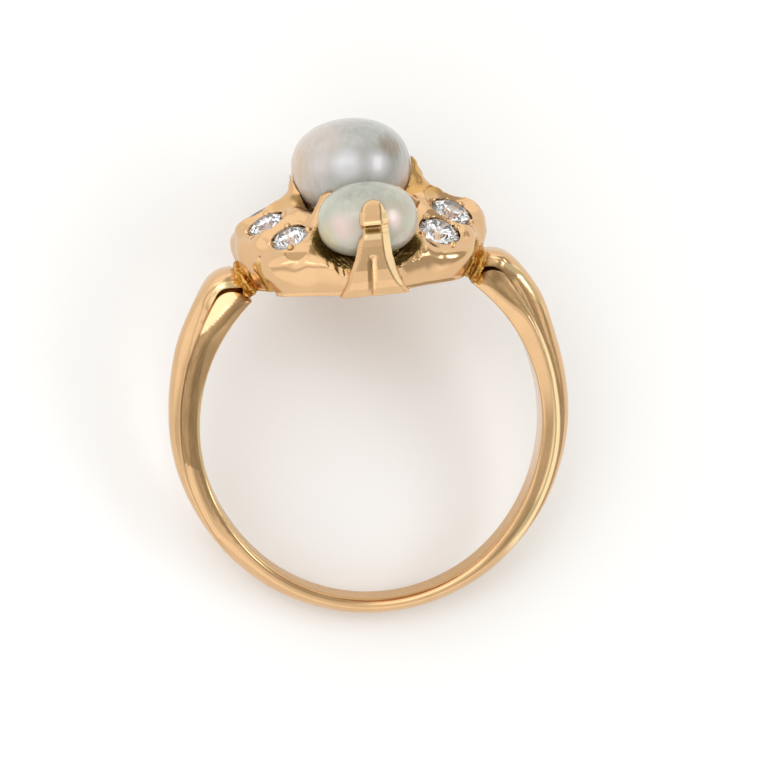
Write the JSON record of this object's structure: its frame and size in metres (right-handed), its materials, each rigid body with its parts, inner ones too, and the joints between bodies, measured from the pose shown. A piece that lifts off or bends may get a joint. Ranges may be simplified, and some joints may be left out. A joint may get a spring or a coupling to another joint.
{
  "type": "pearl and diamond ring",
  "caption": "Gold finger ring with a lobed, domed cluster head: pearls in a row along the finger under claws, flanked by rows of round brilliants, on a hoop with reeded shoulders.",
  "frame": {"origin": "on the surface that the ring lies on, under the middle of its box", "axes": "+X across the finger, +Y from the bottom of the hoop to the head, +Z away from the surface, on the side of the front pearl and its big claw"},
  "size_m": [0.0198, 0.0239, 0.0145],
  "materials": {
    "gold": "polished yellow gold with a warm tone, engraved and matt in the recess round the end pearls",
    "pearl_silver": "silvery pearl lustre",
    "pearl_cream": "cream to green pearl lustre",
    "diamond": "faceted and clear"
  },
  "bodies": {
    "root": {"gold": "gold", "pearl_center": "pearl_silver", "pearl_front": "pearl_cream", "pearl_back": "pearl_cream", "diamond_1": "diamond", "diamond_2": "diamond", "diamond_3": "diamond", "diamond_4": "diamond", "diamond_5": "diamond", "diamond_6": "diamond", "diamond_7": "diamond", "diamond_8": "diamond"}
  },
  "joints": []
}
